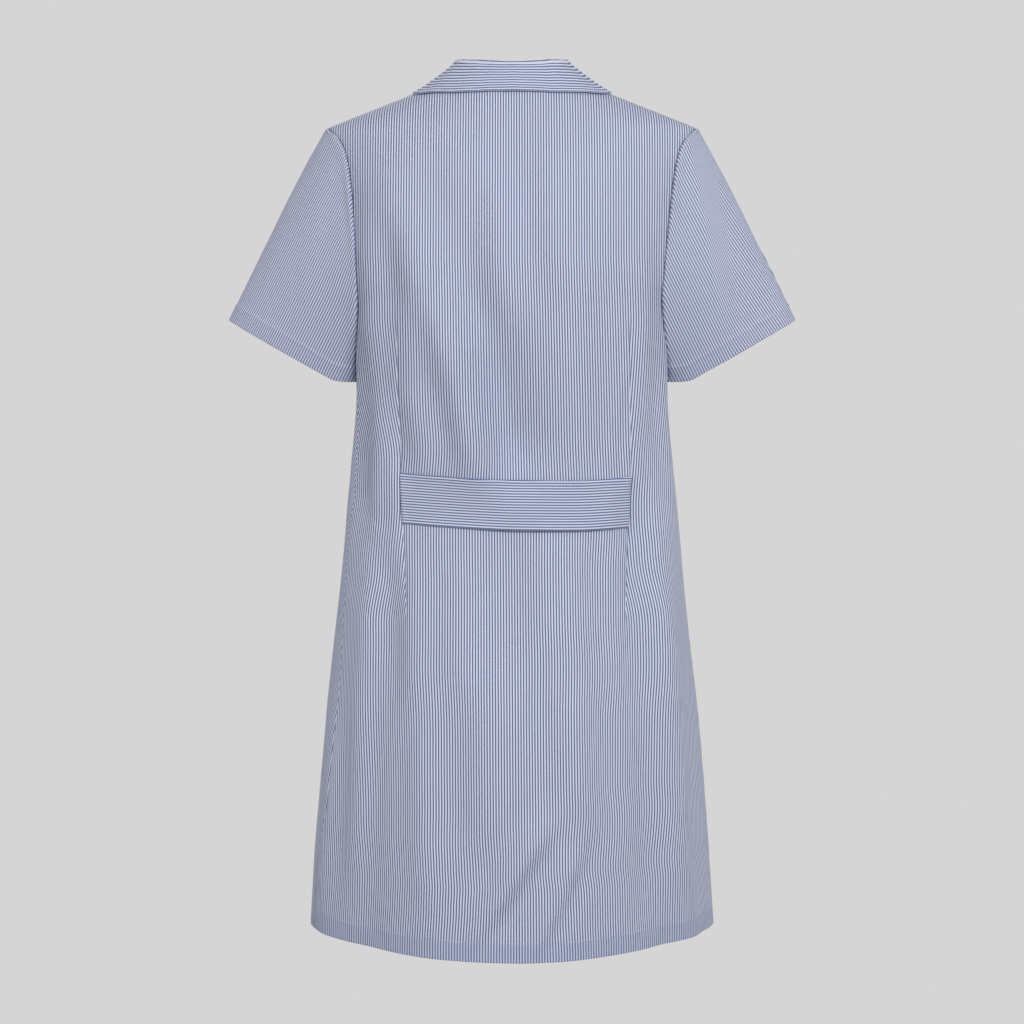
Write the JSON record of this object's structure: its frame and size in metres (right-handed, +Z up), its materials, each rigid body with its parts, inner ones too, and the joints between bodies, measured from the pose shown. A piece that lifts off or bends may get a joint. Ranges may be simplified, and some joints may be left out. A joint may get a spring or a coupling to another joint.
{
  "type": "nurse uniform dress",
  "caption": "Knee-length A-line nurse uniform dress with short sleeves, folded collar, buttoned front, back darts and a half belt, filled out as worn.",
  "frame": {"origin": "midway between the two neck points, where the shoulder seams meet the collar and the wearer's shoulders hold the dress", "axes": "+Z up the body towards the neck, -Y to the wearer's front, +X to the wearer's left"},
  "size_m": [0.6402, 0.3056, 0.9837],
  "materials": {
    "striped_cloth": "matt plain-weave cotton blend in a fine blue and white stripe",
    "button_plastic": "smooth pale plastic"
  },
  "bodies": {
    "root": {"back": "striped_cloth", "front_left": "striped_cloth", "front_right": "striped_cloth", "sleeve_left_back": "striped_cloth", "sleeve_left_front": "striped_cloth", "sleeve_right_back": "striped_cloth", "sleeve_right_front": "striped_cloth", "collar": "striped_cloth", "half_belt": "striped_cloth", "button_1": "button_plastic", "button_2": "button_plastic", "button_3": "button_plastic", "button_4": "button_plastic", "button_5": "button_plastic", "button_6": "button_plastic", "button_7": "button_plastic", "button_8": "button_plastic"}
  },
  "joints": []
}
